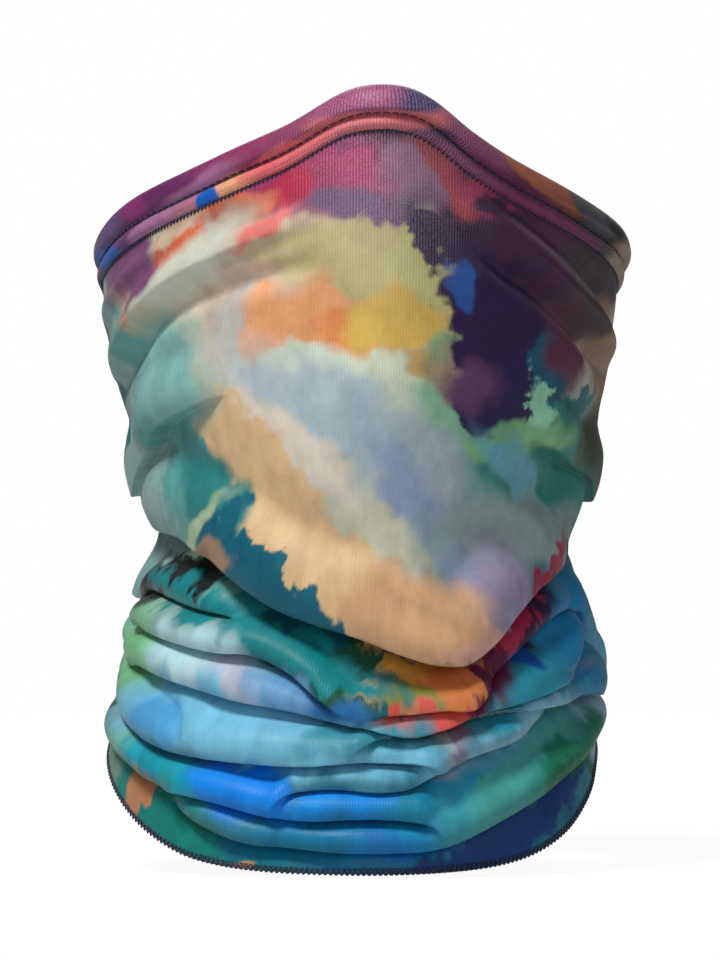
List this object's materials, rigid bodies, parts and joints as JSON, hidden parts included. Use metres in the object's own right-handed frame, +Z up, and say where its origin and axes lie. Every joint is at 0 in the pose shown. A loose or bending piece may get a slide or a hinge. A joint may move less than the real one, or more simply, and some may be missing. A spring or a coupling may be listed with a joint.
{
  "type": "neck gaiter",
  "caption": "Stretch-knit tube scarf for cold weather, worn over the nose and bunched round the neck, with a folded top band.",
  "frame": {"origin": "centre of the neck opening, level with the lowest point of the front hem", "axes": "+Z up along the neck, -Y to the wearer's front, +X to the wearer's left"},
  "size_m": [0.161, 0.202, 0.2289],
  "materials": {
    "printed_knit": "satin polyester jersey, printed",
    "printed_band": "satin polyester jersey, printed, doubled",
    "navy_thread": "textured polyester thread"
  },
  "bodies": {
    "root": {"main_tube": "printed_knit", "top_band": "printed_band", "topstitch_needle_thread": "navy_thread", "topstitch_bobbin_thread": "navy_thread", "join_needle_thread": "navy_thread", "join_upper_looper_thread": "navy_thread", "join_lower_looper_thread": "navy_thread", "hem_needle_thread": "navy_thread", "hem_upper_looper_thread": "navy_thread", "hem_lower_looper_thread": "navy_thread", "body_seam_needle_thread": "navy_thread", "body_seam_upper_looper_thread": "navy_thread", "body_seam_lower_looper_thread": "navy_thread", "band_seam_needle_thread": "navy_thread", "band_seam_bobbin_thread": "navy_thread"}
  },
  "joints": []
}
